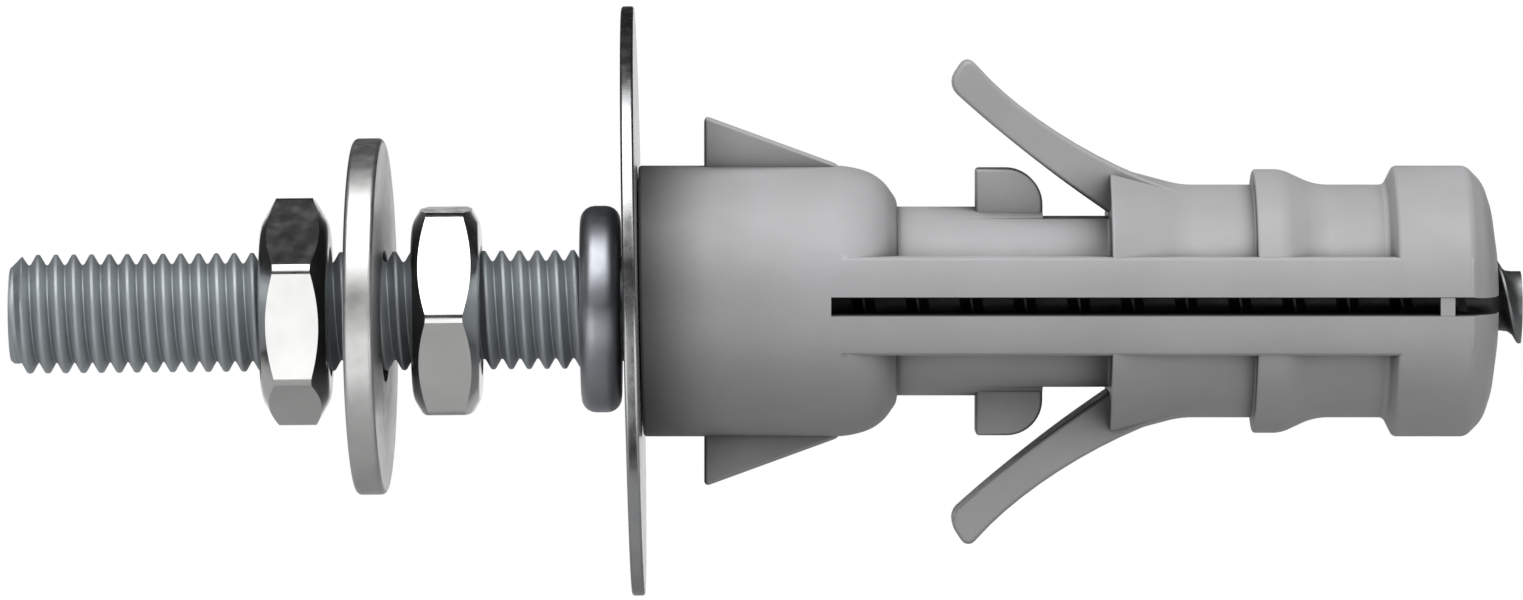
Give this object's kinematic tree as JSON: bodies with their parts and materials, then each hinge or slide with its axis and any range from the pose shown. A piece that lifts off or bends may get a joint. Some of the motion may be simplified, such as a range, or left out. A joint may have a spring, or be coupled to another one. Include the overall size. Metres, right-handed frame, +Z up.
{
  "type": "nylon wall plug with hanger bolt",
  "caption": "Split nylon wall plug with fins, teeth and sprung tongues, holding a steel hanger bolt with a round collar, cover disc, washer and thin hexagon nuts.",
  "frame": {"origin": "on the plug's axis, in its mouth face, which lies in the plane of the wall", "axes": "+X along the plug's axis into the wall, towards the plug's end, so the stud's free end points to -X; +Z up, towards one fin and one tongue; the slit lies within 2.5 degrees of the XY plane, because the plug is rolled a little about its axis, as in the picture; the bolt's own axis leans by 0.52 degrees in the XZ plane, as in the picture, and meets the plug's axis at the plug's end"},
  "size_m": [0.1271, 0.0496, 0.0496],
  "materials": {
    "nylon": "moulded grey nylon, satin",
    "bolt_steel": "bright zinc plating, bluish",
    "disc_steel": "bright zinc plating",
    "nut_steel": "bright zinc plating",
    "washer_steel": "zinc plating, satin"
  },
  "bodies": {
    "wall_plug": {"wall_plug": "nylon"},
    "cover_disc": {"cover_disc": "disc_steel"},
    "hanger_bolt": {"hanger_bolt": "bolt_steel"},
    "inner_nut": {"inner_nut": "nut_steel"},
    "flat_washer": {"flat_washer": "washer_steel"},
    "outer_nut": {"outer_nut": "nut_steel"}
  },
  "joints": [
    {"name": "bolt_travel", "type": "slide", "parent": "wall_plug", "child": "cover_disc", "axis": [1, 0, 0.0091], "range_m": [-0.045, 0]},
    {"name": "bolt_turn", "type": "hinge", "parent": "cover_disc", "child": "hanger_bolt", "pos_m": [0, 0, -0.00065], "axis": [1, 0, 0.0091], "range_deg": [-3601, 1]},
    {"name": "inner_nut_travel", "type": "slide", "parent": "hanger_bolt", "child": "inner_nut", "axis": [1, 0, 0.0091], "range_m": [-0.00095, 0.008]},
    {"name": "outer_nut_travel", "type": "slide", "parent": "hanger_bolt", "child": "flat_washer", "axis": [1, 0, 0.0091], "range_m": [-0.018, 0.00095]},
    {"name": "outer_nut_turn", "type": "hinge", "parent": "flat_washer", "child": "outer_nut", "pos_m": [-0.0294, 0, -0.00091], "axis": [1, 0, 0.0091], "range_deg": [-4321, 229]}
  ],
  "couplings": [
    {"joint": "bolt_turn", "follows": "bolt_travel", "rad_per_m": 1396.3},
    {"joint": "outer_nut_turn", "follows": "outer_nut_travel", "rad_per_m": 4188.8}
  ]
}
